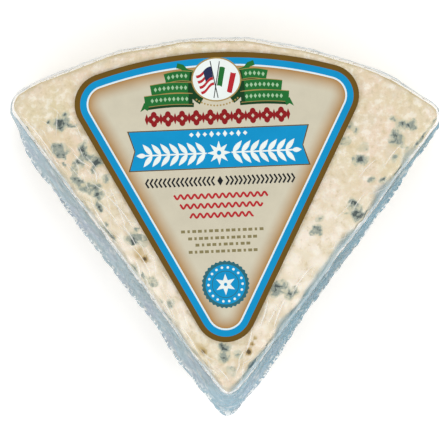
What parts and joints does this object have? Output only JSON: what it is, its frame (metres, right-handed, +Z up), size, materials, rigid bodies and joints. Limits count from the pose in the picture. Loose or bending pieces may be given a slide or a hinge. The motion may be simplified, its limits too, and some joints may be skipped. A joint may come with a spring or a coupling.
{
  "type": "gorgonzola wedge",
  "caption": "Vacuum-packed wedge of blue-veined cheese, sealed in clear film with a free edge round it and a printed wedge-shaped label on top.",
  "frame": {"origin": "centre of the footprint's box, on the plane the pack rests on", "axes": "+X to the right across the wedge with the label facing up and its point towards the reader, +Y from the point towards the rind, +Z up out of the labelled face"},
  "size_m": [0.1288, 0.1126, 0.0318],
  "materials": {
    "cheese": "moist, crumbly cream-coloured paste with blue-green mould veins, under clinging clear film",
    "film": "clear glossy film, two webs sealed together",
    "label": "printed paper, satin"
  },
  "bodies": {
    "root": {"cheese_wedge": "cheese", "film_rim": "film", "label": "label"}
  },
  "joints": []
}
